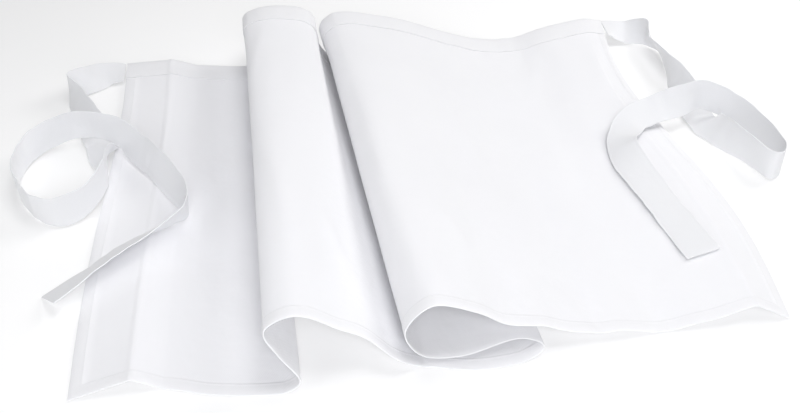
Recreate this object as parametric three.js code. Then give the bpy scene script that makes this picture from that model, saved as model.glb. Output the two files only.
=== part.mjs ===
// A bistro apron lying on a table in two standing pleats, with its two ties. Millimetres, +Z up.
// X runs along the hem and Y from the hem to the waist.
import * as THREE from "three";

// Cloth sizes
const APRON_LENGTH = 500; // hem to waist edge
const CLOTH_THICKNESS = 1.0;
const HEM_DEPTH = 11; // turned-over edge at the bottom and at both sides
const HEM_THICKNESS = 1.8;
const HEM_STEP = 1.0; // run of the step from hem to single cloth

// Waistband sizes
const BAND_DEPTH = 33;
const BAND_WALL = 1.0;
const BAND_TURN = 1.5; // cloth left closed along the folded upper edge
const FREE_GAP = 0.45; // air between two sewn pieces
const LIFT_RUN = 45; // the panel rises into the waistband over this length

// Tie sizes
const TIE_WIDTH = 33;
const TIE_THICKNESS = 1.6;

// How finely the cloth is divided
const COLUMNS_PER_FOLD = 4;
const FIELD_ROWS = 6;
const STEPS_PER_TIE_ROW = 4;

const CLOTH_COLOUR = 0xf4f4f6;
const CLOTH_ROUGHNESS = 0.9;

// The drape, a row for each fold from the left edge to the right. The hem and waist columns are the
// lower face's place there, belly is the extra height halfway between them, and sway is how far the
// cloth wanders sideways, outwards nearer the hem and inwards nearer the waist.
const DRAPE = [
  { fold: "left edge", hem: [0, 0, 0], waist: [0, 500, 5], belly: 0, sway: -3 },
  { fold: "left slope", hem: [43, 2, 11.2], waist: [47, 495, 8.8], belly: -4.4, sway: -2 },
  { fold: "left ridge", hem: [49, 2, 13], waist: [53, 494, 10], belly: -5, sway: -2 },
  { fold: "ridge fall", hem: [55, 2, 10], waist: [60, 494, 7.5], belly: -3.8, sway: -2 },
  { fold: "ridge foot", hem: [73, 1, 0], waist: [85, 492, 0], belly: 0, sway: -1 },
  { fold: "left flat", hem: [112, -11, 0], waist: [115, 486, 0], belly: 0, sway: 0 },
  { fold: "first curl foot", hem: [166, -17, 0], waist: [155, 480, 0], belly: 0, sway: 0 },
  { fold: "first curl", hem: [180, -15, 9], waist: [168, 482, 9], belly: 0, sway: 0 },
  { fold: "first return", hem: [166, -10, 37], waist: [156, 490, 34], belly: 0, sway: 0 },
  { fold: "first roll side", hem: [157, -3, 57], waist: [146, 500, 57], belly: 0, sway: 0 },
  { fold: "first roll top", hem: [179, 0, 67], waist: [166, 502, 66], belly: 0, sway: 0 },
  { fold: "first roll shoulder", hem: [213, 0, 47], waist: [214, 502, 61], belly: 0, sway: 0 },
  { fold: "first roll drop", hem: [232, 0, 34], waist: [225, 502, 50], belly: 0, sway: 0 },
  { fold: "first roll slope", hem: [256, -10, 16], waist: [226, 500, 24], belly: 0, sway: 0 },
  { fold: "middle foot", hem: [279, -7, 0], waist: [241, 498, 0], belly: 0, sway: 0 },
  { fold: "middle flat", hem: [318, -16, 0], waist: [285, 494, 0], belly: 0, sway: 0 },
  { fold: "second curl foot", hem: [358, -14, 0], waist: [336, 494, 0], belly: 0, sway: 0 },
  { fold: "second curl", hem: [378, -5, 7], waist: [351, 496, 11], belly: 0, sway: 0 },
  { fold: "second return", hem: [360, 1, 14], waist: [336, 498, 21], belly: 0, sway: 0 },
  { fold: "second return low", hem: [309, -5, 8], waist: [278, 498, 12], belly: -2, sway: 0 },
  { fold: "second heel", hem: [278, -3, 11], waist: [250, 498, 11], belly: -2, sway: 0 },
  { fold: "second roll side", hem: [264, -3, 40], waist: [236, 500, 38], belly: 0, sway: 0 },
  { fold: "second roll top", hem: [284, 0, 61], waist: [251, 502, 52], belly: 0, sway: 0 },
  { fold: "second roll shoulder", hem: [320, 0, 49], waist: [314, 502, 43], belly: 0, sway: 0 },
  { fold: "second roll slope", hem: [345, 0, 32], waist: [345, 502, 33], belly: 0, sway: 0 },
  { fold: "right step", hem: [374, 0, 25], waist: [370, 502, 23], belly: 0, sway: 0 },
  { fold: "right low", hem: [420, 0, 9], waist: [403, 502, 11], belly: -2, sway: 0 },
  { fold: "right wave", hem: [444, 0, 9], waist: [435, 502, 3], belly: -2, sway: 0 },
  { fold: "right flat", hem: [478, 1, 0], waist: [475, 503, 0], belly: 0, sway: 0 },
  { fold: "right rise", hem: [528, 2, 8], waist: [519, 502, 13], belly: -5, sway: 4 },
  { fold: "right slope", hem: [556, 4, 14.8], waist: [559, 502, 20], belly: -7.6, sway: 9 },
  { fold: "right ridge", hem: [562, 4, 16], waist: [567, 502, 21], belly: -8, sway: 10 },
  { fold: "right fall", hem: [568, 3, 13.6], waist: [572, 502, 20.4], belly: -7, sway: 11 },
  { fold: "right edge", hem: [594, 0, 0], waist: [590, 502, 17], belly: -2, sway: 13 },
];

// The ties, a row for each bend of the tape's middle line from the seam to the free end. lean is the
// tape's tilt in degrees: 0 and 180 lie flat, 90 stands on edge.
const LEFT_TIE = [
  { bend: "seam", x: -1.2, y: 479.5, z: 7.4, lean: 172 },
  { bend: "leaving", x: -10.5, y: 479.5, z: 8.2, lean: 164 },
  { bend: "turning", x: -23.5, y: 475, z: 9.8, lean: 150 },
  { bend: "tilting", x: -35, y: 463, z: 12.2, lean: 139 },
  { bend: "before the fold", x: -48, y: 449, z: 16.2, lean: 114 },
  { bend: "fold", x: -57, y: 438, z: 17.4, lean: 86 },
  { bend: "after the fold", x: -50, y: 421, z: 15.6, lean: 62 },
  { bend: "falling", x: -40, y: 400, z: 14.2, lean: 54 },
  { bend: "lying down", x: -27, y: 372, z: 10.6, lean: 34 },
  { bend: "under the ring", x: -14, y: 341, z: 5.8, lean: 9 },
  { bend: "rising", x: -7, y: 315, z: 6.2, lean: 14 },
  { bend: "ring right", x: 1, y: 287, z: 20.4, lean: 74 },
  { bend: "ring right low", x: 3, y: 261, z: 23, lean: 88 },
  { bend: "ring near right", x: -10, y: 225, z: 21, lean: 90 },
  { bend: "ring near", x: -36, y: 212, z: 18, lean: 92 },
  { bend: "ring corner", x: -55, y: 220, z: 18, lean: 90 },
  { bend: "ring near left", x: -64, y: 229, z: 18, lean: 90 },
  { bend: "ring left low", x: -84, y: 266, z: 18, lean: 90 },
  { bend: "ring left", x: -87, y: 296, z: 18, lean: 90 },
  { bend: "ring far left", x: -76, y: 330, z: 19, lean: 90 },
  { bend: "ring far", x: -50, y: 346, z: 23, lean: 90 },
  { bend: "over itself", x: -21, y: 339, z: 30.5, lean: 90 },
  { bend: "over the edge", x: 12, y: 323, z: 28.5, lean: 78 },
  { bend: "on the panel", x: 28, y: 304, z: 23, lean: 62 },
  { bend: "over the ridge", x: 49, y: 273, z: 24, lean: 60 },
  { bend: "past the ridge", x: 67, y: 242, z: 22, lean: 62 },
  { bend: "before the turn", x: 79, y: 221, z: 20, lean: 72 },
  { bend: "turn", x: 85, y: 209, z: 19, lean: 84 },
  { bend: "turned back", x: 78, y: 192, z: 19, lean: 62 },
  { bend: "back over the ridge", x: 53, y: 168, z: 21, lean: 40 },
  { bend: "off the ridge", x: 27, y: 151, z: 18, lean: 36 },
  { bend: "off the panel", x: -1, y: 129, z: 13, lean: 32 },
  { bend: "free end", x: -30, y: 105, z: 9, lean: 25 },
];

const RIGHT_TIE = [
  { bend: "seam", x: 590.6, y: 485, z: 17.5, lean: 2 },
  { bend: "leaving", x: 603, y: 485, z: 14, lean: 12 },
  { bend: "before the fold", x: 618, y: 483, z: 10.8, lean: 26 },
  { bend: "fold", x: 630, y: 477, z: 14.2, lean: 52 },
  { bend: "folding", x: 636.5, y: 468, z: 17.6, lean: 82 },
  { bend: "after the fold", x: 639, y: 455, z: 17.4, lean: 108 },
  { bend: "twist", x: 640, y: 439, z: 15.4, lean: 126 },
  { bend: "falling", x: 637, y: 403, z: 16.8, lean: 108 },
  { bend: "leaning", x: 635, y: 370, z: 17.6, lean: 82 },
  { bend: "lying down", x: 636, y: 339, z: 14.6, lean: 54 },
  { bend: "under the loop", x: 638, y: 295, z: 4.4, lean: 6 },
  { bend: "rising", x: 639, y: 264, z: 13.2, lean: 50 },
  { bend: "loop near side", x: 651, y: 221, z: 18, lean: 84 },
  { bend: "loop near end", x: 667, y: 183, z: 18, lean: 90 },
  { bend: "loop end", x: 680, y: 191, z: 18, lean: 90 },
  { bend: "loop far side", x: 683, y: 240, z: 18, lean: 92 },
  { bend: "loop closing", x: 664, y: 287, z: 24, lean: 94 },
  { bend: "climbing", x: 637, y: 300, z: 31, lean: 104 },
  { bend: "over itself", x: 611, y: 293, z: 30.6, lean: 122 },
  { bend: "over the edge", x: 583, y: 289, z: 25.6, lean: 150 },
  { bend: "on the panel", x: 556, y: 281, z: 21.5, lean: 160 },
  { bend: "fold over", x: 540, y: 265, z: 18, lean: 186 },
  { bend: "folded back", x: 527, y: 236, z: 17.4, lean: 214 },
  { bend: "lying", x: 537, y: 161, z: 11, lean: 188 },
  { bend: "free end", x: 547, y: 76, z: 12.5, lean: 192 },
];

function curveThrough(table, place) {
  const points = table.map((row) => new THREE.Vector3(...place(row)));
  return new THREE.CatmullRomCurve3(points, false, "centripetal");
}

function blendThrough(values) {
  const spline = new THREE.SplineCurve(values.map((value, index) => new THREE.Vector2(index, value)));
  return (t) => spline.getPoint(t).y;
}

const hemCurve = curveThrough(DRAPE, (row) => row.hem);
const waistCurve = curveThrough(DRAPE, (row) => row.waist);
const bellyAt = blendThrough(DRAPE.map((row) => row.belly));
const swayAt = blendThrough(DRAPE.map((row) => row.sway));

// A point of the cloth's lower face: t runs along the hem and v from hem to waist, both 0 to 1.
function drapePoint(t, v) {
  const point = hemCurve.getPoint(t).lerp(waistCurve.getPoint(t), v);
  point.x += swayAt(t) * Math.sin(2 * Math.PI * v);
  point.z = Math.max(point.z + bellyAt(t) * 4 * v * (1 - v), 0);
  return point;
}

function drapeNormal(t, v) {
  const step = 1e-3;
  const across = (a, b) => drapePoint(b, v).sub(drapePoint(a, v));
  const along = drapePoint(t, Math.min(v + step, 1)).sub(drapePoint(t, Math.max(v - step, 0)));
  const side = across(Math.max(t - step, 0), Math.min(t + step, 1));
  return side.cross(along).normalize();
}

// A point at a given height above the lower face.
function clothPoint(t, v, height) {
  return drapePoint(t, v).addScaledVector(drapeNormal(t, v), height);
}

// The place along the drape's first or last fold where a side hem ends.
const foldCount = DRAPE.length - 1;
const firstFold = hemCurve.getPoint(0).distanceTo(hemCurve.getPoint(1 / foldCount));
const lastFold = hemCurve.getPoint(1 - 1 / foldCount).distanceTo(hemCurve.getPoint(1));
const sideHemEnds = (inset) => [inset / firstFold / foldCount, 1 - inset / lastFold / foldCount];
const [leftHemEnd, rightHemEnd] = sideHemEnds(HEM_DEPTH);

function columnPlaces() {
  const count = foldCount * COLUMNS_PER_FOLD;
  const even = Array.from({ length: count + 1 }, (_, index) => index / count);
  const hems = [...sideHemEnds(HEM_DEPTH), ...sideHemEnds(HEM_DEPTH + HEM_STEP)];
  const spacing = 0.15 / count;
  const kept = even.filter((t) => hems.every((hem) => Math.abs(t - hem) > spacing));
  return [...kept, ...hems].sort((a, b) => a - b);
}
const COLUMNS = columnPlaces();

// Joins rings of points into one closed skin. Each ring is a closed section, and the two end rings
// are closed by the given cap triangles.
function skinFromRings(rings, capTriangles) {
  const size = rings[0].length;
  const positions = rings.flat().flatMap((point) => point.toArray());
  const faces = [];
  for (let ring = 0; ring + 1 < rings.length; ring += 1) {
    for (let corner = 0; corner < size; corner += 1) {
      const next = (corner + 1) % size;
      const a = ring * size + corner;
      const b = ring * size + next;
      faces.push(a, b, b + size, a, b + size, a + size);
    }
  }
  const lastRing = (rings.length - 1) * size;
  for (const [a, b, c] of capTriangles) {
    faces.push(a, c, b);
    faces.push(lastRing + a, lastRing + b, lastRing + c);
  }
  const geometry = new THREE.BufferGeometry();
  geometry.setAttribute("position", new THREE.Float32BufferAttribute(positions, 3));
  geometry.setIndex(faces);
  geometry.computeVertexNormals();
  return geometry;
}

function clothMesh(name, geometry) {
  const material = new THREE.MeshStandardMaterial({
    color: CLOTH_COLOUR,
    roughness: CLOTH_ROUGHNESS,
    metalness: 0,
  });
  const mesh = new THREE.Mesh(geometry, material);
  mesh.name = name;
  return mesh;
}

// Skirt panel: a wall on the drape with thicker hems, rising into the waistband at its upper edge
function skirtPanel() {
  const seam = APRON_LENGTH - BAND_DEPTH;
  const liftStart = seam - LIFT_RUN;
  const top = APRON_LENGTH - BAND_TURN - FREE_GAP;
  const fieldStart = HEM_DEPTH + HEM_STEP;
  const rows = [0, HEM_DEPTH];
  for (let row = 0; row <= FIELD_ROWS; row += 1) {
    rows.push(THREE.MathUtils.lerp(fieldStart, liftStart, row / FIELD_ROWS));
  }
  rows.push(liftStart + LIFT_RUN / 2, seam, top);

  const inBand = BAND_WALL + FREE_GAP;
  const liftAt = (reach) => inBand * THREE.MathUtils.smoothstep(reach, liftStart, seam);
  const inHem = (t, reach) => reach <= HEM_DEPTH || t <= leftHemEnd || t >= rightHemEnd;
  const thicknessAt = (t, reach) => (reach < seam && inHem(t, reach) ? HEM_THICKNESS : CLOTH_THICKNESS);

  const rings = COLUMNS.map((t) => {
    const lower = rows.map((reach) => clothPoint(t, reach / APRON_LENGTH, liftAt(reach)));
    const upper = rows.map((reach) => {
      return clothPoint(t, reach / APRON_LENGTH, liftAt(reach) + thicknessAt(t, reach));
    });
    return [...lower, ...upper.reverse()];
  });
  const caps = [];
  for (let row = 0; row + 1 < rows.length; row += 1) {
    const opposite = 2 * rows.length - 1 - row;
    caps.push([row, row + 1, opposite], [row + 1, opposite - 1, opposite]);
  }
  return clothMesh("skirt_panel", skinFromRings(rings, caps));
}

// Waistband: a strip folded over the panel's upper edge, open below
function waistband() {
  const seam = (APRON_LENGTH - BAND_DEPTH) / APRON_LENGTH;
  const slotEnd = (APRON_LENGTH - BAND_TURN) / APRON_LENGTH;
  const slotFloor = BAND_WALL;
  const slotRoof = BAND_WALL + CLOTH_THICKNESS + 2 * FREE_GAP;
  const bandTop = slotRoof + BAND_WALL;
  const section = [
    { v: seam, height: 0 },
    { v: 1, height: 0 },
    { v: 1, height: bandTop },
    { v: seam, height: bandTop },
    { v: seam, height: slotRoof },
    { v: slotEnd, height: slotRoof },
    { v: slotEnd, height: slotFloor },
    { v: seam, height: slotFloor },
  ];
  const rings = COLUMNS.map((t) => section.map(({ v, height }) => clothPoint(t, v, height)));
  const caps = [[0, 1, 7], [1, 6, 7], [1, 2, 6], [2, 5, 6], [2, 3, 5], [3, 4, 5]];
  return clothMesh("waistband", skinFromRings(rings, caps));
}

// A tie: a flat tape along its row table, leaning as the rows say
function tie(name, table) {
  const middle = curveThrough(table, (row) => [row.x, row.y, row.z]);
  const leanAt = blendThrough(table.map((row) => THREE.MathUtils.degToRad(row.lean)));
  const up = new THREE.Vector3(0, 0, 1);
  const count = (table.length - 1) * STEPS_PER_TIE_ROW;
  const rings = [];
  for (let index = 0; index <= count; index += 1) {
    const t = index / count;
    const heading = middle.getTangent(t);
    const left = up.clone().cross(heading).normalize();
    const rise = heading.clone().cross(left);
    const lean = leanAt(t);
    const edge = left.multiplyScalar(Math.cos(lean)).addScaledVector(rise, Math.sin(lean));
    const face = heading.clone().cross(edge);
    const corner = (across, through) => middle
      .getPoint(t)
      .addScaledVector(edge, across * TIE_WIDTH / 2)
      .addScaledVector(face, through * TIE_THICKNESS / 2);
    rings.push([corner(-1, -1), corner(1, -1), corner(1, 1), corner(-1, 1)]);
  }
  return clothMesh(name, skinFromRings(rings, [[0, 1, 3], [1, 2, 3]]));
}

// The apron, set with the middle of its underside at the origin
const cloth = new THREE.Group();
cloth.add(skirtPanel(), waistband(), tie("left_tie", LEFT_TIE), tie("right_tie", RIGHT_TIE));
const middle = new THREE.Box3().setFromObject(cloth).getCenter(new THREE.Vector3());
cloth.position.set(-middle.x, -middle.y, 0);

const apron = new THREE.Group();
apron.name = "bistro_apron";
apron.add(cloth);

export default apron;
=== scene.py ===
"""The bistro apron dressed for its render: hemmed panel, folded waistband, taped ties and stitches.

Metres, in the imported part's own frame. X runs along the hem, Y from the hem to the waist, Z up.
"""
import math
from collections import namedtuple

import bpy
import numpy as np
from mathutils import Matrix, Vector


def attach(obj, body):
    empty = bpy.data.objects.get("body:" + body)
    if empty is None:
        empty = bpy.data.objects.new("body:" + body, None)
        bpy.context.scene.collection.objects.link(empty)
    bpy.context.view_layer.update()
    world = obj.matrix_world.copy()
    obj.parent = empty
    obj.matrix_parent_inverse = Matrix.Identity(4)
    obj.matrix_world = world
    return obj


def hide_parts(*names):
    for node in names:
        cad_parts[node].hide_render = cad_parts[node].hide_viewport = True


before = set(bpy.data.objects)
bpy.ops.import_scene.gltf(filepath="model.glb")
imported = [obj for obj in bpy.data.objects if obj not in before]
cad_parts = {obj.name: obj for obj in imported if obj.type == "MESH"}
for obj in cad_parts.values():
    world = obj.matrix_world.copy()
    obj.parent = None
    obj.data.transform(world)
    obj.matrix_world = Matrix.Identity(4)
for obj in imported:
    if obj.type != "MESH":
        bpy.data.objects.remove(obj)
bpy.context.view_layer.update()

# The drape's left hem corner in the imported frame
HEM_CORNER = np.array((-0.298681, -0.242998, 0.0))

# Cloth sizes. The side hems end a gap below the waistband's seam, and the panel rises into the band over
# the lift run.
APRON_LENGTH = 0.500
CLOTH_THICKNESS = 0.0007
HEM_DEPTH = 0.011
HEM_STITCH = 0.0095
HEM_THICKNESS = 0.0012
HEM_END_GAP = 0.001
BAND_DEPTH = 0.033
BAND_WALL = 0.0007
BAND_TURN = 0.0020
BAND_STITCH = 0.0022
SEWN_GAP = 0.0003
LIFT_RUN = 0.045
TIE_WIDTH = 0.033
HALF_WIDTH = TIE_WIDTH / 2
TIE_THICKNESS = 0.0012
TIE_STITCH = 0.0022
TIE_END_HEM = 0.009

# How finely the cloth is divided. The clearances keep the even lines off the hems' own lines: rows in
# metres, columns and steps as a share of the whole run.
COLUMNS_PER_FOLD = 8
FIELD_ROWS = 118
STEPS_PER_BEND = 16
COLUMN_CLEARANCE = 0.0004
ROW_CLEARANCE = 0.0003
STEP_CLEARANCE = 0.0003
BAND_TURN_POINTS = 7

# Faces that meet at more than this angle look creased
SHARP_ANGLE = math.radians(65)

# How many points measure a run or carry a line of stitches
HEM_RUN_POINTS = 3000
TIE_RUN_POINTS = 4000
LONG_LINE_POINTS = 1600
SIDE_LINE_POINTS = 500
BAR_LINE_POINTS = 60
TIE_END_POINTS = 40

# Stitches. Each is a short thread of three rings, with a ring's place as a share of the stitch's
# length, and its girth and rise as shares of the thread's radius.
STITCH_PITCH = 0.0033
STITCH_LENGTH = 0.0025
STITCH_RADIUS = 0.00020
STITCH_SINK = 0.00008
RING_SIDES = 5
Ring = namedtuple("Ring", "ring place girth rise")
STITCH_RINGS = (
    Ring("start", -0.5, 0.35, -0.9),
    Ring("middle", 0.0, 1.0, 0.0),
    Ring("end", 0.5, 0.35, -0.9),
)

# Where stitch lines stop: the band's seam line is measured in metres at its left end and as a place
# along the hem at its right, and two short bars of stitches run up each end of the band
BAND_LINE_START = 0.003
BAND_LINE_END_PLACE = 0.998
BAR_INSETS = (0.004, 0.008)
BAR_TOP_GAP = 0.003
TIE_LINE_END = 0.002

# Profiles of the cloth's edges, a row for each step: its reach in from the edge, and its share of the
# full thickness. In the waistband's profile the share is of the deepest dip along its stitches.
Step = namedtuple("Step", "step reach share")
HEM_PROFILE = (
    Step("fold", 0.0, 1.00),
    Step("swell", 0.0045, 1.04),
    Step("before the stitch", HEM_STITCH - 0.0012, 0.98),
    Step("stitch", HEM_STITCH, 0.84),
    Step("past the stitch", HEM_STITCH + 0.0008, 0.94),
    Step("turned edge", HEM_DEPTH, 0.92),
    Step("single cloth", HEM_DEPTH + 0.0006, CLOTH_THICKNESS / HEM_THICKNESS),
)
EDGE_PROFILE = (
    Step("rim", 0.0, 0.25),
    Step("rounding", 0.0003, 0.72),
    Step("full", 0.0009, 1.0),
)
BAND_DIP = 0.00022
BAND_PROFILE = (
    Step("lower edge", 0.0, 0.25),
    Step("before the stitch", BAND_STITCH - 0.001, 0.3),
    Step("stitch", BAND_STITCH, 1.0),
    Step("past the stitch", BAND_STITCH + 0.001, 0.3),
    Step("low", 0.008, 0.0),
    Step("middle", 0.016, 0.0),
    Step("high", 0.024, 0.0),
)
TIE_PROFILE = (
    Step("rim", 0.0, 0.45),
    Step("rounding", 0.0003, 0.85),
    Step("full", 0.0008, 1.0),
    Step("before the stitch", TIE_STITCH - 0.0006, 0.95),
    Step("stitch", TIE_STITCH, 0.72),
    Step("past the stitch", TIE_STITCH + 0.0008, 0.95),
    Step("flat", 0.008, 1.0),
    Step("middle", HALF_WIDTH, 1.04),
)
TIE_END_PROFILE = (
    Step("rim", 0.0, 0.55),
    Step("rounding", 0.0003, 1.0),
    Step("turned tape", 0.0008, 1.2),
    Step("before the stitch", TIE_END_HEM - 0.0010, 1.2),
    Step("stitch", TIE_END_HEM, 0.92),
    Step("past the stitch", TIE_END_HEM + 0.0008, 1.15),
    Step("single tape", TIE_END_HEM + 0.0016, 1.0),
)

# The drape, a row for each fold from the left edge to the right. The hem and waist columns are the
# lower face's place there, belly is the extra height halfway between them, and sway is how far the
# cloth wanders sideways.
Fold = namedtuple("Fold", "fold hem waist belly sway")
DRAPE = (
    Fold("left edge", (0.000, 0.000, 0.000), (0.000, 0.500, 0.005), 0.000, -0.003),
    Fold("left slope", (0.043, 0.002, 0.0112), (0.047, 0.495, 0.0088), -0.0044, -0.002),
    Fold("left ridge", (0.049, 0.002, 0.013), (0.053, 0.494, 0.010), -0.005, -0.002),
    Fold("ridge fall", (0.055, 0.002, 0.010), (0.060, 0.494, 0.0075), -0.0038, -0.002),
    Fold("ridge foot", (0.073, 0.001, 0.000), (0.085, 0.492, 0.000), 0.000, -0.001),
    Fold("left flat", (0.112, -0.011, 0.000), (0.115, 0.486, 0.000), 0.000, 0.000),
    Fold("first curl foot", (0.166, -0.017, 0.000), (0.155, 0.480, 0.000), 0.000, 0.000),
    Fold("first curl", (0.180, -0.015, 0.009), (0.168, 0.482, 0.009), 0.000, 0.000),
    Fold("first return", (0.166, -0.010, 0.037), (0.156, 0.490, 0.034), 0.000, 0.000),
    Fold("first roll side", (0.157, -0.003, 0.057), (0.146, 0.500, 0.057), 0.000, 0.000),
    Fold("first roll top", (0.179, 0.000, 0.067), (0.166, 0.502, 0.066), 0.000, 0.000),
    Fold("first roll shoulder", (0.213, 0.000, 0.047), (0.214, 0.502, 0.061), 0.000, 0.000),
    Fold("first roll drop", (0.232, 0.000, 0.034), (0.225, 0.502, 0.050), 0.000, 0.000),
    Fold("first roll slope", (0.256, -0.010, 0.016), (0.226, 0.500, 0.024), 0.000, 0.000),
    Fold("middle foot", (0.279, -0.007, 0.000), (0.241, 0.498, 0.000), 0.000, 0.000),
    Fold("middle flat", (0.318, -0.016, 0.000), (0.285, 0.494, 0.000), 0.000, 0.000),
    Fold("second curl foot", (0.358, -0.014, 0.000), (0.336, 0.494, 0.000), 0.000, 0.000),
    Fold("second curl", (0.378, -0.005, 0.007), (0.351, 0.496, 0.011), 0.000, 0.000),
    Fold("second return", (0.360, 0.001, 0.014), (0.336, 0.498, 0.021), 0.000, 0.000),
    Fold("second return low", (0.309, -0.005, 0.008), (0.278, 0.498, 0.012), -0.002, 0.000),
    Fold("second heel", (0.278, -0.003, 0.011), (0.250, 0.498, 0.011), -0.002, 0.000),
    Fold("second roll side", (0.264, -0.003, 0.040), (0.236, 0.500, 0.038), 0.000, 0.000),
    Fold("second roll top", (0.284, 0.000, 0.061), (0.251, 0.502, 0.052), 0.000, 0.000),
    Fold("second roll shoulder", (0.320, 0.000, 0.049), (0.314, 0.502, 0.043), 0.000, 0.000),
    Fold("second roll slope", (0.345, 0.000, 0.032), (0.345, 0.502, 0.033), 0.000, 0.000),
    Fold("right step", (0.374, 0.000, 0.025), (0.370, 0.502, 0.023), 0.000, 0.000),
    Fold("right low", (0.420, 0.000, 0.009), (0.403, 0.502, 0.011), -0.002, 0.000),
    Fold("right wave", (0.444, 0.000, 0.009), (0.435, 0.502, 0.003), -0.002, 0.000),
    Fold("right flat", (0.478, 0.001, 0.000), (0.475, 0.503, 0.000), 0.000, 0.000),
    Fold("right rise", (0.528, 0.002, 0.008), (0.519, 0.502, 0.013), -0.005, 0.004),
    Fold("right slope", (0.556, 0.004, 0.0148), (0.559, 0.502, 0.020), -0.0076, 0.009),
    Fold("right ridge", (0.562, 0.004, 0.016), (0.567, 0.502, 0.021), -0.008, 0.010),
    Fold("right fall", (0.568, 0.003, 0.0136), (0.572, 0.502, 0.0204), -0.007, 0.011),
    Fold("right edge", (0.594, 0.000, 0.000), (0.590, 0.502, 0.017), -0.002, 0.013),
)

# The ties, a row for each bend of the tape's middle line from the seam to the free end. lean is the
# tape's tilt in degrees: 0 and 180 lie flat, 90 stands on edge.
Bend = namedtuple("Bend", "bend x y z lean")
LEFT_TIE = (
    Bend("seam", -0.0012, 0.4795, 0.0074, 172),
    Bend("leaving", -0.0105, 0.4795, 0.0082, 164),
    Bend("turning", -0.0235, 0.475, 0.0098, 150),
    Bend("tilting", -0.035, 0.463, 0.0122, 139),
    Bend("before the fold", -0.048, 0.449, 0.0162, 114),
    Bend("fold", -0.057, 0.438, 0.0174, 86),
    Bend("after the fold", -0.050, 0.421, 0.0156, 62),
    Bend("falling", -0.040, 0.400, 0.0142, 54),
    Bend("lying down", -0.027, 0.372, 0.0106, 34),
    Bend("under the ring", -0.014, 0.341, 0.0058, 9),
    Bend("rising", -0.007, 0.315, 0.0062, 14),
    Bend("ring right", 0.001, 0.287, 0.0204, 74),
    Bend("ring right low", 0.003, 0.261, 0.023, 88),
    Bend("ring near right", -0.010, 0.225, 0.021, 90),
    Bend("ring near", -0.036, 0.212, 0.018, 92),
    Bend("ring corner", -0.055, 0.220, 0.018, 90),
    Bend("ring near left", -0.064, 0.229, 0.018, 90),
    Bend("ring left low", -0.084, 0.266, 0.018, 90),
    Bend("ring left", -0.087, 0.296, 0.018, 90),
    Bend("ring far left", -0.076, 0.330, 0.019, 90),
    Bend("ring far", -0.050, 0.346, 0.023, 90),
    Bend("over itself", -0.021, 0.339, 0.0305, 90),
    Bend("over the edge", 0.012, 0.323, 0.0285, 78),
    Bend("on the panel", 0.028, 0.304, 0.023, 62),
    Bend("over the ridge", 0.049, 0.273, 0.024, 60),
    Bend("past the ridge", 0.067, 0.242, 0.022, 62),
    Bend("before the turn", 0.079, 0.221, 0.020, 72),
    Bend("turn", 0.085, 0.209, 0.019, 84),
    Bend("turned back", 0.078, 0.192, 0.019, 62),
    Bend("back over the ridge", 0.053, 0.168, 0.021, 40),
    Bend("off the ridge", 0.027, 0.151, 0.018, 36),
    Bend("off the panel", -0.001, 0.129, 0.013, 32),
    Bend("free end", -0.030, 0.105, 0.009, 25),
)
RIGHT_TIE = (
    Bend("seam", 0.5906, 0.485, 0.0175, 2),
    Bend("leaving", 0.603, 0.485, 0.014, 12),
    Bend("before the fold", 0.618, 0.483, 0.0108, 26),
    Bend("fold", 0.630, 0.477, 0.0142, 52),
    Bend("folding", 0.6365, 0.468, 0.0176, 82),
    Bend("after the fold", 0.639, 0.455, 0.0174, 108),
    Bend("twist", 0.640, 0.439, 0.0154, 126),
    Bend("falling", 0.637, 0.403, 0.0168, 108),
    Bend("leaning", 0.635, 0.370, 0.0176, 82),
    Bend("lying down", 0.636, 0.339, 0.0146, 54),
    Bend("under the loop", 0.638, 0.295, 0.0044, 6),
    Bend("rising", 0.639, 0.264, 0.0132, 50),
    Bend("loop near side", 0.651, 0.221, 0.018, 84),
    Bend("loop near end", 0.667, 0.183, 0.018, 90),
    Bend("loop end", 0.680, 0.191, 0.018, 90),
    Bend("loop far side", 0.683, 0.240, 0.018, 92),
    Bend("loop closing", 0.664, 0.287, 0.024, 94),
    Bend("climbing", 0.637, 0.300, 0.031, 104),
    Bend("over itself", 0.611, 0.293, 0.0306, 122),
    Bend("over the edge", 0.583, 0.289, 0.0256, 150),
    Bend("on the panel", 0.556, 0.281, 0.0215, 160),
    Bend("fold over", 0.540, 0.265, 0.018, 186),
    Bend("folded back", 0.527, 0.236, 0.0174, 214),
    Bend("lying", 0.537, 0.161, 0.011, 188),
    Bend("free end", 0.547, 0.076, 0.0125, 192),
)

# Soft dents all over the cloth: wave lengths along the hem and up the cloth, and height
Dent = namedtuple("Dent", "along up height phase")
DENTS = (
    Dent(0.210, 0.620, 0.00016, 0.4),
    Dent(0.118, -0.330, 0.00012, 2.1),
    Dent(0.071, 0.410, 0.00008, 4.4),
    Dent(-0.160, 0.150, 0.00010, 5.2),
    Dent(0.047, -0.210, 0.00005, 1.3),
)

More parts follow.
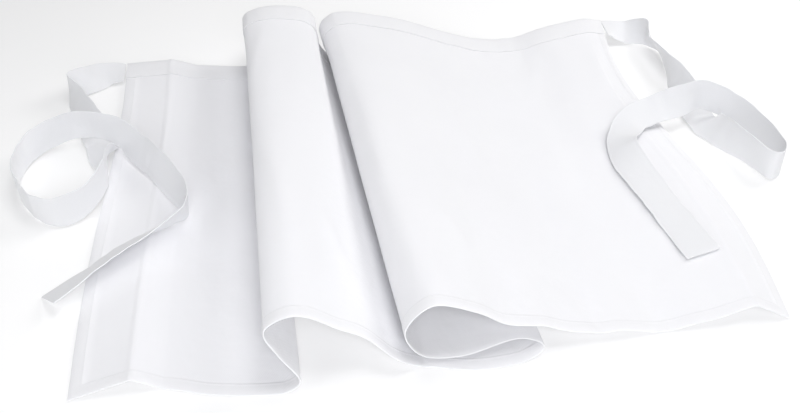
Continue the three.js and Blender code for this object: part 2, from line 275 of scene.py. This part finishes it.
# Soft wrinkles, each a low ridge: its place along the hem and up the cloth, how far it reaches along
# and across itself, its turn in degrees from straight up, and its height
Wrinkle = namedtuple("Wrinkle", "wrinkle run reach length width turn height")
WRINKLES = (
    Wrinkle("left long", 0.135, 0.250, 0.160, 0.012, 4, 0.0016),
    Wrinkle("left high", 0.103, 0.380, 0.070, 0.010, -12, 0.0012),
    Wrinkle("left low", 0.146, 0.080, 0.060, 0.009, 14, 0.0012),
    Wrinkle("left by the ridge", 0.088, 0.100, 0.080, 0.008, -6, 0.0009),
    Wrinkle("first roll low", 0.275, 0.150, 0.100, 0.010, -8, 0.0016),
    Wrinkle("first roll high", 0.300, 0.330, 0.120, 0.012, 6, 0.0016),
    Wrinkle("first roll crown", 0.262, 0.400, 0.060, 0.008, 12, 0.0011),
    Wrinkle("first roll slope", 0.318, 0.100, 0.050, 0.008, -20, 0.0013),
    Wrinkle("first roll hem", 0.290, 0.040, 0.035, 0.007, 10, 0.0011),
    Wrinkle("second roll long", 0.668, 0.230, 0.120, 0.012, 5, 0.0016),
    Wrinkle("second roll high", 0.690, 0.400, 0.080, 0.010, -10, 0.0014),
    Wrinkle("second roll low", 0.702, 0.120, 0.060, 0.010, -22, 0.0015),
    Wrinkle("second roll hem", 0.678, 0.030, 0.030, 0.007, 12, 0.0011),
    Wrinkle("right by the roll", 0.752, 0.300, 0.100, 0.012, -6, 0.0016),
    Wrinkle("right slant", 0.790, 0.140, 0.090, 0.014, 18, 0.0018),
    Wrinkle("right high", 0.830, 0.390, 0.080, 0.012, -14, 0.0016),
    Wrinkle("right middle", 0.848, 0.220, 0.090, 0.014, 8, 0.0012),
    Wrinkle("right by the band", 0.795, 0.440, 0.035, 0.010, 24, 0.0014),
    Wrinkle("right waist first", 0.885, 0.420, 0.050, 0.012, 20, 0.0016),
    Wrinkle("right waist second", 0.925, 0.435, 0.045, 0.010, -16, 0.0014),
    Wrinkle("right waist third", 0.962, 0.400, 0.060, 0.010, 8, 0.0010),
    Wrinkle("right hem first", 0.770, 0.000, 0.030, 0.008, 6, 0.0012),
    Wrinkle("right hem second", 0.812, 0.000, 0.035, 0.009, -8, 0.0012),
    Wrinkle("right hem third", 0.862, 0.000, 0.040, 0.010, 10, 0.0014),
    Wrinkle("right hem fourth", 0.908, 0.000, 0.030, 0.009, -6, 0.0010),
)

# Puckers that a seam pulls into the cloth beside it. A shift, in radians over a length, keeps their
# spacing from being even.
PUCKER_LENGTH = 0.013
PUCKER_HEIGHT = 0.00022
PUCKER_REACH = 0.009
PUCKER_SHIFT_ALONG = 0.8
PUCKER_SHIFT_ALONG_LENGTH = 0.083
PUCKER_SHIFT_UP = 0.6
PUCKER_SHIFT_UP_LENGTH = 0.057
BAND_PUCKER_LENGTH = 0.019
BAND_PUCKER_HEIGHT = 0.00030
BAND_PUCKER_REACH = 0.040
BAND_PUCKER_SHIFT = 1.7
BAND_PUCKER_SHIFT_LENGTH = 0.13

# The tightest curl is smooth, so that the cloth stays clear of itself there
CURL_PLACE = [row.fold for row in DRAPE].index("second curl") / (len(DRAPE) - 1)
CURL_REACH = 0.015

# Small waves along a tie: flutter tilts the tape, crumple lifts it in slanting ridges, and the edges
# waver by a share of the width. The slant is in turns for each metre across, the crumple's shift in
# turns and the edge's in radians.
FLUTTER_LENGTH = 0.062
FLUTTER_HEIGHT = 0.0004
SLOW_FLUTTER_LENGTH = 1.7 * FLUTTER_LENGTH
SLOW_FLUTTER_PHASE = 1.0
CRUMPLE_LENGTH = 0.027
CRUMPLE_HEIGHT = 0.00022
CRUMPLE_SLANT = 9.0
CRUMPLE_SHIFT = 0.35
CRUMPLE_SHIFT_LENGTH = 0.09
EDGE_WAVER = 0.02
EDGE_WAVER_LENGTH = 0.031
EDGE_SHIFT = 1.4
EDGE_SHIFT_LENGTH = 0.12

# Cotton twill: lengths and heights in metres of cloth, noise scales for each metre, and how much
# darker its greyest patches are
APRON_WHITE = (0.885, 0.885, 0.91)
# The ties' white is painted shade: the same cotton as the panel's, painted greyer so that the ties read as
# darker
TIE_SHADED_WHITE = (0.825, 0.83, 0.85)
RIB_PITCH = 0.0008
RIB_HEIGHT = 0.00004
YARN_PITCH = 0.7 * RIB_PITCH
YARN_HEIGHT = 0.5 * RIB_HEIGHT
SLUB_SCALE = 420.0
SLUB_HEIGHT = 0.8 * RIB_HEIGHT
CREASE_SCALE = 26.0
CREASE_HEIGHT = 0.0012
PATCH_SCALE = 9.0
PATCH_SHADE = 0.972
SOAK_SHARE = 0.85
SOAK_LENGTH = 0.0004

# Sewing thread
THREAD_WHITE = (0.88, 0.88, 0.90, 1.0)
THREAD_GREY = (0.80, 0.80, 0.83, 1.0)
STRAND_SCALE = 2600.0
STRAND_HEIGHT = 0.00006

# Camera: its place from the left hem corner, its tilt below level and its turn towards +X
CAMERA_PLACE = HEM_CORNER + (0.1944, -0.4448, 0.5430)
CAMERA_TILT = math.radians(40.0)
CAMERA_TURN = math.radians(8.3)
CAMERA_LENS = 38.7
CAMERA_SENSOR = 36.0
CAMERA_SIGHT = 50.0

# Lights: where each stands, what it points at, its width, power and colour
WARM_WHITE = (1.0, 0.99, 0.98)
EVEN_WHITE = (0.99, 0.99, 1.0)
COOL_WHITE = (0.98, 0.985, 1.0)
Light = namedtuple("Light", "name place target width power colour")
LIGHTS = (
    Light("key", (1.1, 0.5, 1.0), (0.0, 0.0, 0.0), 0.85, 8.8, WARM_WHITE),
    Light("top", (0.3, -0.1, 1.6), (0.2, 0.0, 0.0), 0.8, 7.8, EVEN_WHITE),
    Light("back", (0.0, 0.7, 1.5), (0.0, 0.0, 0.0), 0.8, 3.0, EVEN_WHITE),
    Light("front", (0.1, -1.5, 0.55), (0.1, 0.0, 0.0), 1.2, 7.5, COOL_WHITE),
    Light("fill", (-0.1, -1.1, 0.95), (0.05, 0.0, 0.0), 0.4, 5.6, COOL_WHITE),
    Light("left", (-1.3, -0.5, 0.7), (0.0, 0.0, 0.0), 0.9, 3.6, COOL_WHITE),
)
SKY_COLOUR = (0.965, 0.97, 1.0, 1.0)
SKY_STRENGTH = 0.10
VIEW_GAMMA = 1.2

# Floor: it lies just under the cloth and glows a little, so that it stays pale
FLOOR_REACH = 12.0
FLOOR_DROP = 0.0004
FLOOR_COLOUR = (0.82, 0.82, 0.82, 1.0)
FLOOR_GLOW = 0.22


# Curves, waves and profiles

def spline(points, places, even=False):
    """Points of a Catmull-Rom curve at places 0 to 1, centripetal or evenly spaced."""
    points = np.asarray(points, float)
    if points.ndim == 1:
        points = points[:, None]
    if even:
        padded = np.vstack([points[:1], points, points[-1:]])
    else:
        padded = np.vstack([2 * points[:1] - points[1:2], points, 2 * points[-1:] - points[-2:-1]])
    places = np.asarray(places, float)
    spans = len(points) - 1
    knots = places.ravel() * spans
    index = np.clip(knots.astype(int), 0, spans - 1)
    share = (knots - index)[:, None]
    before, start, end, after = (padded[index + offset] for offset in range(4))

    def spacing(a, b):
        if even:
            return 1.0
        return np.sqrt(np.linalg.norm(b - a, axis=1, keepdims=True))

    first, middle, last = spacing(before, start), spacing(start, end), spacing(end, after)
    leave = (start - before) / first - (end - before) / (first + middle) + (end - start) / middle
    arrive = (end - start) / middle - (after - start) / (middle + last) + (after - end) / last
    leave = leave * middle
    arrive = arrive * middle
    rise = end - start
    curve = start + leave * share + (3 * rise - 2 * leave - arrive) * share ** 2
    curve = curve + (leave + arrive - 2 * rise) * share ** 3
    return curve.reshape(*places.shape, points.shape[1])


def unit(vectors):
    return vectors / np.linalg.norm(vectors, axis=-1, keepdims=True)


def run_along(points):
    """Length along a line of points, from its start to each point."""
    steps = np.linalg.norm(np.diff(points, axis=0), axis=1)
    return np.concatenate([[0.0], np.cumsum(steps)])


def smooth_step(value):
    """A soft step from 0 to 1."""
    value = np.clip(value, 0.0, 1.0)
    return value * value * (3 - 2 * value)


def sine(place, length, phase=0.0):
    """A wave of the given length."""
    return np.sin(2 * np.pi * place / length + phase)


def reaches(profile):
    return np.array([row.reach for row in profile])


def shares(profile):
    return np.array([row.share for row in profile])


def share_at(profile, distance):
    """The profile's share at a distance in from the edge."""
    return np.interp(distance, reaches(profile), shares(profile))


def with_lines(even_places, lines, clearance):
    """Even places with the given extra lines put in, and close neighbours of those left out."""
    kept = [place for place in even_places if np.min(np.abs(lines - place)) > clearance]
    return np.sort(np.concatenate([kept, lines]))


# The drape

HEM = [row.hem for row in DRAPE]
WAIST = [row.waist for row in DRAPE]
BELLY = [row.belly for row in DRAPE]
SWAY = [row.sway for row in DRAPE]
RUN_PLACES = np.linspace(0.0, 1.0, HEM_RUN_POINTS)
HEM_RUN = run_along(spline(HEM, RUN_PLACES))
HEM_TOTAL = HEM_RUN[-1]
SEAM = APRON_LENGTH - BAND_DEPTH


def drape(t, v):
    """The cloth's lower face: t is the place along the hem, 0 to 1, and v the reach above it."""
    share = v / APRON_LENGTH
    hem = spline(HEM, t)
    points = hem + (spline(WAIST, t) - hem) * share[..., None]
    points[..., 0] += spline(SWAY, t, even=True)[..., 0] * np.sin(2 * np.pi * share)
    points[..., 2] += spline(BELLY, t, even=True)[..., 0] * 4 * share * (1 - share)
    points[..., 2] = np.maximum(points[..., 2], 0.0)
    return points + HEM_CORNER


def drape_normal(t, v):
    """The direction square to the cloth, out of its upper face."""
    step = 5e-4
    side = drape(np.minimum(t + step, 1.0), v) - drape(np.maximum(t - step, 0.0), v)
    along = drape(t, np.minimum(v + step, APRON_LENGTH)) - drape(t, np.maximum(v - step, 0.0))
    return unit(np.cross(side, along))


def hem_run(t):
    """Length along the hem from the left edge to a place."""
    return np.interp(t, RUN_PLACES, HEM_RUN)


def place_at(run):
    """The place, 0 to 1, at a length along the hem."""
    return np.interp(run, HEM_RUN, RUN_PLACES)


def edge_distance(t, v):
    """Distance to the nearest hemmed edge: left, right or bottom."""
    run = hem_run(t)
    return np.minimum(np.minimum(run, HEM_TOTAL - run), v)


def ripple(t, v):
    """How far dents, wrinkles and puckers lift the cloth."""
    run = hem_run(t)
    lift = np.zeros(np.shape(run))
    for dent in DENTS:
        wave = np.sin(2 * np.pi * (run / dent.along + v / dent.up) + dent.phase)
        lift = lift + dent.height * (1 + wave)
    for wrinkle in WRINKLES:
        turn = math.radians(wrinkle.turn)
        beside, above = run - wrinkle.run, v - wrinkle.reach
        along = (above * math.cos(turn) + beside * math.sin(turn)) / wrinkle.length
        across = (beside * math.cos(turn) - above * math.sin(turn)) / wrinkle.width
        lift = lift + wrinkle.height * np.exp(-along ** 2 - across ** 2)
    shift = PUCKER_SHIFT_ALONG * sine(run, PUCKER_SHIFT_ALONG_LENGTH)
    shift = shift + PUCKER_SHIFT_UP * sine(v, PUCKER_SHIFT_UP_LENGTH)
    from_stitch = (edge_distance(t, v) - HEM_STITCH) / PUCKER_REACH
    pucker = sine(run + v, PUCKER_LENGTH, shift)
    lift = lift + PUCKER_HEIGHT * (1 + pucker) * np.exp(-from_stitch ** 2) / 2
    from_band = np.maximum(SEAM - v, 0.0) / BAND_PUCKER_REACH
    pull = sine(run, BAND_PUCKER_LENGTH, BAND_PUCKER_SHIFT * sine(run, BAND_PUCKER_SHIFT_LENGTH))
    lift = lift + BAND_PUCKER_HEIGHT * (1 + pull) * np.exp(-2 * from_band) / 2
    from_curl = (run - hem_run(CURL_PLACE)) / CURL_REACH
    return lift * (1 - np.exp(-from_curl ** 2))


def cloth(t, v, height):
    """Points at a height above the rippled lower face."""
    t, v, height = np.broadcast_arrays(t, v, height)
    return drape(t, v) + drape_normal(t, v) * (height + ripple(t, v))[..., None]


# Meshes

def make_object(name, vertices, faces, material):
    mesh = bpy.data.meshes.new(name)
    mesh.from_pydata(vertices.tolist(), [], faces)
    mesh.materials.append(material)
    mesh.shade_smooth()
    mesh.set_sharp_from_angle(angle=SHARP_ANGLE)
    piece = bpy.data.objects.new(name, mesh)
    bpy.context.scene.collection.objects.link(piece)
    return piece


def wall(name, lower, upper, places, material):
    """A closed wall between two grids of points, with the cloth's own measure as its UVs."""
    columns, rows = lower.shape[:2]
    count = columns * rows
    index = np.arange(count).reshape(columns, rows)
    a, b = index[:-1, :-1], index[1:, :-1]
    c, d = index[1:, 1:], index[:-1, 1:]
    above = np.stack([a, b, c, d], axis=-1).reshape(-1, 4) + count
    below = np.stack([a, d, c, b], axis=-1).reshape(-1, 4)
    border = np.concatenate([index[:, 0], index[-1, 1:], index[-2::-1, -1], index[0, -2:0:-1]])
    beside = np.roll(border, -1)
    rim = np.stack([border, beside, beside + count, border + count], axis=-1)
    vertices = np.concatenate([lower.reshape(-1, 3), upper.reshape(-1, 3)])
    piece = make_object(name, vertices, np.concatenate([above, below, rim]).tolist(), material)
    mesh = piece.data
    corners = np.empty(len(mesh.loops), dtype=np.int32)
    mesh.loops.foreach_get("vertex_index", corners)
    layer = mesh.uv_layers.new(name="cloth")
    layer.data.foreach_set("uv", places.reshape(-1, 2)[corners % count].ravel())
    return piece


def stitches(name, runs, material):
    """Rows of short threads. Each run is a line of points with the surface's normal at each."""
    around = np.linspace(0, 2 * np.pi, RING_SIDES, endpoint=False)
    vertices = []
    for points, normals in runs:
        run = run_along(points)
        middles = np.arange(STITCH_PITCH / 2, run[-1], STITCH_PITCH)

        def at(places, values):
            return np.stack([np.interp(places, run, values[:, axis]) for axis in range(3)], axis=1)

        heading = unit(at(middles + STITCH_LENGTH / 2, points) - at(middles - STITCH_LENGTH / 2, points))
        normal = unit(at(middles, normals))
        side = np.cross(normal, heading)
        for ring in STITCH_RINGS:
            radius = ring.girth * STITCH_RADIUS
            rise = ring.rise * STITCH_RADIUS - STITCH_SINK
            centre = at(middles + ring.place * STITCH_LENGTH, points) + normal * rise
            corners = [
                centre + radius * (math.cos(turn) * side + math.sin(turn) * normal)
                for turn in around
            ]
            vertices.append(np.stack(corners, axis=1))
    ring_count = len(STITCH_RINGS)
    rings = [np.concatenate(vertices[offset::ring_count]) for offset in range(ring_count)]
    threads = np.stack(rings, axis=1)
    thread_size = ring_count * RING_SIDES
    faces = []
    for first in range(0, len(threads) * thread_size, thread_size):
        last = first + thread_size - RING_SIDES
        faces.append([first + corner for corner in reversed(range(RING_SIDES))])
        faces.append([last + corner for corner in range(RING_SIDES)])
        for low in range(first, last, RING_SIDES):
            high = low + RING_SIDES
            for corner in range(RING_SIDES):
                beside = (corner + 1) % RING_SIDES
                faces.append([low + corner, low + beside, high + beside, high + corner])
    return make_object(name, threads.reshape(-1, 3), faces, material)


# Materials

def cotton(name, colour):
    """White cotton twill: diagonal ribs crossed by the yarn, soft creases and uneven whiteness."""
    material = bpy.data.materials.new(name)
    material.use_nodes = True
    nodes = material.node_tree.nodes
    links = material.node_tree.links
    shader = nodes["Principled BSDF"]
    shader.inputs["Roughness"].default_value = 0.88
    shader.inputs["Specular IOR Level"].default_value = 0.25
    shader.inputs["Sheen Weight"].default_value = 0.12
    shader.inputs["Sheen Roughness"].default_value = 0.55
    # Light soaks through the thin cloth
    shader.inputs["Subsurface Weight"].default_value = SOAK_SHARE
    shader.inputs["Subsurface Radius"].default_value = (1.0, 1.0, 1.0)
    shader.inputs["Subsurface Scale"].default_value = SOAK_LENGTH

    place = nodes.new("ShaderNodeUVMap")
    place.uv_map = "cloth"

    def wave(direction, pitch, distortion):
        texture = nodes.new("ShaderNodeTexWave")
        texture.bands_direction = direction
        # The texture turns one radian in this length, and its diagonal bands stand 1.4 times wider apart
        radian_length = 0.05
        texture.inputs["Scale"].default_value = radian_length / pitch * 2 * math.pi
        texture.inputs["Distortion"].default_value = distortion
        texture.inputs["Detail"].default_value = 1.0
        links.new(place.outputs["UV"], texture.inputs["Vector"])
        return texture

    def noise(scale, detail):
        texture = nodes.new("ShaderNodeTexNoise")
        texture.inputs["Scale"].default_value = scale
        texture.inputs["Detail"].default_value = detail
        links.new(place.outputs["UV"], texture.inputs["Vector"])
        return texture

    def bump(height, distance, previous):
        node = nodes.new("ShaderNodeBump")
        node.inputs["Distance"].default_value = distance
        links.new(height, node.inputs["Height"])
        if previous is not None:
            links.new(previous.outputs["Normal"], node.inputs["Normal"])
        return node

    ribs = wave("DIAGONAL", RIB_PITCH, distortion=0.6)
    yarn = wave("X", YARN_PITCH, distortion=0.4)
    creases = noise(CREASE_SCALE, detail=3.0)
    slubs = noise(SLUB_SCALE, detail=2.0)
    relief = bump(creases.outputs["Fac"], CREASE_HEIGHT, None)
    relief = bump(slubs.outputs["Fac"], SLUB_HEIGHT, relief)
    relief = bump(yarn.outputs["Fac"], YARN_HEIGHT, relief)
    relief = bump(ribs.outputs["Fac"], RIB_HEIGHT, relief)
    links.new(relief.outputs["Normal"], shader.inputs["Normal"])

    patches = noise(PATCH_SCALE, detail=4.0)
    shade = nodes.new("ShaderNodeMix")
    shade.data_type = "RGBA"
    shade.inputs["A"].default_value = (*(part * PATCH_SHADE for part in colour), 1.0)
    shade.inputs["B"].default_value = (*colour, 1.0)
    links.new(patches.outputs["Fac"], shade.inputs["Factor"])
    links.new(shade.outputs["Result"], shader.inputs["Base Color"])
    return material


def thread_material():
    """White sewing thread with fine strands."""
    material = bpy.data.materials.new("white_thread")
    material.use_nodes = True
    nodes = material.node_tree.nodes
    links = material.node_tree.links
    shader = nodes["Principled BSDF"]
    shader.inputs["Roughness"].default_value = 0.6
    shader.inputs["Sheen Weight"].default_value = 0.2
    place = nodes.new("ShaderNodeTexCoord")
    strands = nodes.new("ShaderNodeTexNoise")
    strands.inputs["Scale"].default_value = STRAND_SCALE
    links.new(place.outputs["Object"], strands.inputs["Vector"])
    twist = nodes.new("ShaderNodeBump")
    twist.inputs["Distance"].default_value = STRAND_HEIGHT
    links.new(strands.outputs["Fac"], twist.inputs["Height"])
    links.new(twist.outputs["Normal"], shader.inputs["Normal"])
    shade = nodes.new("ShaderNodeMix")
    shade.data_type = "RGBA"
    shade.inputs["A"].default_value = THREAD_GREY
    shade.inputs["B"].default_value = THREAD_WHITE
    links.new(strands.outputs["Fac"], shade.inputs["Factor"])
    links.new(shade.outputs["Result"], shader.inputs["Base Color"])
    return material


APRON_COTTON = cotton("apron_cotton", APRON_WHITE)
# A darker copy of the cotton for the ties, with painted shade in its colour
TIE_SHADED_COTTON = cotton("tie_cotton_painted_shade", TIE_SHADED_WHITE)
THREAD = thread_material()


# Skirt panel

IN_BAND = BAND_WALL + SEWN_GAP
HEM_LINES = np.unique(np.concatenate([reaches(HEM_PROFILE), reaches(EDGE_PROFILE)]))


def panel_heights(t, v):
    """Heights of the panel's lower and upper face above the rippled drape."""
    distance = edge_distance(t, v)
    full = HEM_THICKNESS * share_at(HEM_PROFILE, distance)
    full = np.where(v < SEAM - HEM_END_GAP, full, CLOTH_THICKNESS)
    rounded = full * share_at(EDGE_PROFILE, distance)
    lift = IN_BAND * smooth_step((v - (SEAM - LIFT_RUN)) / LIFT_RUN)
    return lift + (full - rounded) / 2, lift + (full + rounded) / 2


def column_places():
    """Places along the hem, close together at both side hems."""
    lines = place_at(np.concatenate([HEM_LINES, HEM_TOTAL - HEM_LINES]))
    even = np.linspace(0.0, 1.0, (len(DRAPE) - 1) * COLUMNS_PER_FOLD + 1)
    return with_lines(even, lines, COLUMN_CLEARANCE)


COLUMNS = column_places()


def skirt_panel():
    """The cloth, thicker at its turned hems, with its upper edge inside the waistband."""
    lines = np.append(HEM_LINES, SEAM)
    top = APRON_LENGTH - BAND_TURN - SEWN_GAP
    rows = with_lines(np.linspace(0.0, top, FIELD_ROWS), lines, ROW_CLEARANCE)
    t, v = np.meshgrid(COLUMNS, rows, indexing="ij")
    lower, upper = panel_heights(t, v)
    places = np.stack([hem_run(t), v], axis=-1)
    return wall("apron_panel", cloth(t, v, lower), cloth(t, v, upper), places, APRON_COTTON)


def panel_line(t, v):
    """A stitch line on both faces of the panel."""
    lower, upper = panel_heights(t, v)
    normal = drape_normal(t, v)
    return [(cloth(t, v, upper), normal), (cloth(t, v, lower), -normal)]


def panel_stitches():
    """Stitch lines along the bottom hem and up both side hems."""
    sides = place_at((HEM_STITCH, HEM_TOTAL - HEM_STITCH))
    along = np.linspace(*sides, LONG_LINE_POINTS)
    up = np.linspace(HEM_STITCH, SEAM, SIDE_LINE_POINTS)
    runs = panel_line(along, np.full(along.shape, HEM_STITCH))
    for place in sides:
        runs += panel_line(np.full(up.shape, place), up)
    return stitches("panel_stitches", runs, THREAD)


# Waistband

BAND_HEIGHT = 2 * BAND_WALL + 2 * SEWN_GAP + CLOTH_THICKNESS


def waistband():
    """A strip folded over the panel's upper edge, pulled in along its stitches."""
    flat = reaches(BAND_PROFILE)
    dip = shares(BAND_PROFILE) * BAND_DIP
    turn = np.linspace(-np.pi / 2, np.pi / 2, BAND_TURN_POINTS)
    round_outer, round_inner = BAND_HEIGHT / 2, BAND_HEIGHT / 2 - BAND_WALL
    outer_reach = np.concatenate([
        SEAM + flat,
        APRON_LENGTH - round_outer + round_outer * np.cos(turn),
        SEAM + flat[::-1],
    ])
    outer_height = np.concatenate([
        dip,
        BAND_HEIGHT / 2 + round_outer * np.sin(turn),
        BAND_HEIGHT - dip[::-1],
    ])
    inner_reach = np.concatenate([
        SEAM + flat,
        APRON_LENGTH - BAND_TURN + round_inner * (np.cos(turn) - 1),
        SEAM + flat[::-1],
    ])
    inner_height = np.concatenate([
        np.full(flat.shape, BAND_WALL),
        BAND_HEIGHT / 2 + round_inner * np.sin(turn),
        np.full(flat.shape, BAND_HEIGHT - BAND_WALL),
    ])
    columns = COLUMNS[:, None]
    outer = cloth(columns, outer_reach, outer_height)
    inner = cloth(columns, inner_reach, inner_height)
    across = np.broadcast_to(run_along(np.stack([outer_reach, outer_height], axis=1)), outer.shape[:2])
    along = np.broadcast_to(hem_run(columns), outer.shape[:2])
    places = np.stack([along, across], axis=-1)
    return wall("apron_waistband", outer, inner, places, APRON_COTTON)


def waistband_stitches():
    """A seam line along both faces of the band, and bars of stitches that hold the ties in its ends."""
    along = np.linspace(place_at(BAND_LINE_START), BAND_LINE_END_PLACE, LONG_LINE_POINTS)
    reach = np.full(along.shape, SEAM + BAND_STITCH)
    normal = drape_normal(along, reach)
    runs = [
        (cloth(along, reach, BAND_HEIGHT - BAND_DIP), normal),
        (cloth(along, reach, BAND_DIP), -normal),
    ]
    up = np.linspace(SEAM + BAND_STITCH, APRON_LENGTH - BAR_TOP_GAP, BAR_LINE_POINTS)
    for inset in BAR_INSETS:
        for place in place_at((inset, HEM_TOTAL - inset)):
            column = np.full(up.shape, place)
            normal = drape_normal(column, up)
            runs.append((cloth(column, up, BAND_HEIGHT), normal))
            runs.append((cloth(column, up, 0.0), -normal))
    return stitches("waistband_stitches", runs, THREAD)


# Ties

def tie_frame(table, places):
    """The tape's middle line with its edge and face directions."""
    middle = [(row.x, row.y, row.z) for row in table]
    lean = np.radians(spline([row.lean for row in table], places, even=True))
    step = 1e-4
    ahead = spline(middle, np.minimum(places + step, 1.0))
    behind = spline(middle, np.maximum(places - step, 0.0))
    heading = unit(ahead - behind)
    left = unit(np.cross((0.0, 0.0, 1.0), heading))
    rise = np.cross(heading, left)
    edge = np.cos(lean) * left + np.sin(lean) * rise
    points = spline(middle, places) + HEM_CORNER
    return points, edge, np.cross(heading, edge)


def tie_places(table):
    """Places along a tie, close together at its free end's hem."""
    fine = np.linspace(0.0, 1.0, TIE_RUN_POINTS)
    run = run_along(tie_frame(table, fine)[0])
    even = np.linspace(0.0, 1.0, (len(table) - 1) * STEPS_PER_BEND + 1)
    lines = np.interp(run[-1] - reaches(TIE_END_PROFILE), run, fine)
    return with_lines(even, lines, STEP_CLEARANCE)


def tie_length(table):
    return float(run_along(tie_frame(table, tie_places(table))[0])[-1])


def tie_surface(table, places, across, side):
    """Points, normals and run of one face, -1 the lower and 1 the upper, at distances across the tape."""
    points, edge, face = tie_frame(table, places)
    run = run_along(points)
    full = TIE_THICKNESS * share_at(TIE_PROFILE, HALF_WIDTH - np.abs(across))
    full = full * share_at(TIE_END_PROFILE, run[-1] - run)[:, None]
    flutter = sine(run, FLUTTER_LENGTH) + sine(run, SLOW_FLUTTER_LENGTH, SLOW_FLUTTER_PHASE)
    lift = FLUTTER_HEIGHT * flutter[:, None] * (across / HALF_WIDTH)
    turns = run / CRUMPLE_LENGTH + CRUMPLE_SHIFT * sine(run, CRUMPLE_SHIFT_LENGTH)
    lift = lift + CRUMPLE_HEIGHT * np.sin(2 * np.pi * (turns[:, None] + CRUMPLE_SLANT * across))
    waver = sine(run, EDGE_WAVER_LENGTH, EDGE_SHIFT * sine(run, EDGE_SHIFT_LENGTH))
    width = 1 + EDGE_WAVER * waver
    grid = points[:, None] + edge[:, None] * (across[None] * width[:, None])[..., None]
    grid = grid + face[:, None] * (lift + side * full / 2)[..., None]
    return grid, side * face, run


def tie(name, table):
    """A tape, thinner along its edge stitches and turned over at its free end."""
    places = tie_places(table)
    reach = reaches(TIE_PROFILE)
    across = np.concatenate([reach - HALF_WIDTH, (HALF_WIDTH - reach[:-1])[::-1]])
    lower, _, run = tie_surface(table, places, across, -1)
    upper, _, _ = tie_surface(table, places, across, 1)
    uv = np.stack(np.meshgrid(run, across, indexing="ij"), axis=-1)
    return wall(name, lower, upper, uv, TIE_SHADED_COTTON)


def tie_stitches(name, table):
    """Stitch lines along both edges and across the free end, on both faces of a tie."""
    places = np.linspace(0.0, 1.0, LONG_LINE_POINTS)
    edges = np.array((TIE_STITCH - HALF_WIDTH, HALF_WIDTH - TIE_STITCH))
    across = np.linspace(*edges, TIE_END_POINTS)
    runs = []
    for side in (-1, 1):
        grid, normal, run = tie_surface(table, places, edges, side)
        inside = run < run[-1] - TIE_LINE_END
        runs.append((grid[inside, 0], normal[inside]))
        runs.append((grid[inside, 1], normal[inside]))
        grid, normal, run = tie_surface(table, places, across, side)
        row = np.searchsorted(run, run[-1] - TIE_END_HEM)
        runs.append((grid[row], np.broadcast_to(normal[row], (len(across), 3))))
    return stitches(name, runs, THREAD)


# Camera, lights and floor

def camera():
    data = bpy.data.cameras.new("camera")
    data.lens = CAMERA_LENS
    data.sensor_width = CAMERA_SENSOR
    data.sensor_fit = "HORIZONTAL"
    data.clip_end = CAMERA_SIGHT
    looker = bpy.data.objects.new("camera", data)
    level = math.cos(CAMERA_TILT)
    looking = Vector((math.sin(CAMERA_TURN) * level, math.cos(CAMERA_TURN) * level, -math.sin(CAMERA_TILT)))
    looker.location = CAMERA_PLACE
    looker.rotation_euler = looking.to_track_quat("-Z", "Y").to_euler()
    bpy.context.scene.collection.objects.link(looker)
    bpy.context.scene.camera = looker


def area_light(light):
    data = bpy.data.lights.new(light.name, "AREA")
    data.shape = "DISK"
    data.size = light.width
    data.energy = light.power
    data.color = light.colour
    lamp = bpy.data.objects.new(light.name, data)
    lamp.location = light.place
    beam = Vector(light.target) - Vector(light.place)
    lamp.rotation_euler = beam.to_track_quat("-Z", "Y").to_euler()
    bpy.context.scene.collection.objects.link(lamp)


def studio():
    scene = bpy.context.scene
    scene.view_settings.view_transform = "Standard"
    scene.view_settings.look = "None"
    scene.view_settings.gamma = VIEW_GAMMA
    world = bpy.data.worlds.new("white_room")
    world.use_nodes = True
    sky = world.node_tree.nodes["Background"]
    sky.inputs["Color"].default_value = SKY_COLOUR
    sky.inputs["Strength"].default_value = SKY_STRENGTH
    scene.world = world
    for light in LIGHTS:
        area_light(light)


def floor():
    square = np.array(((-1, -1, 0), (1, -1, 0), (1, 1, 0), (-1, 1, 0)))
    corners = square * FLOOR_REACH - (0.0, 0.0, FLOOR_DROP)
    material = bpy.data.materials.new("white_floor")
    material.use_nodes = True
    shader = material.node_tree.nodes["Principled BSDF"]
    shader.inputs["Base Color"].default_value = FLOOR_COLOUR
    shader.inputs["Roughness"].default_value = 1.0
    shader.inputs["Specular IOR Level"].default_value = 0.0
    shader.inputs["Emission Color"].default_value = (1.0, 1.0, 1.0, 1.0)
    shader.inputs["Emission Strength"].default_value = FLOOR_GLOW
    plane = make_object("floor", corners, [[0, 1, 2, 3]], material)


camera()
studio()
floor()

panel = skirt_panel()
panel_seams = panel_stitches()
band = waistband()
band_seams = waistband_stitches()
left = tie("left_tie_tape", LEFT_TIE)
left_seams = tie_stitches("left_tie_stitches", LEFT_TIE)
right = tie("right_tie_tape", RIGHT_TIE)
right_seams = tie_stitches("right_tie_stitches", RIGHT_TIE)

for piece in (panel, panel_seams, band, band_seams):
    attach(piece, "root")
for piece in (left, left_seams, right, right_seams):
    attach(piece, "root")

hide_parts("skirt_panel")
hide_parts("waistband")
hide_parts("left_tie")
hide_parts("right_tie")

tie_length(LEFT_TIE)
tie_length(RIGHT_TIE)
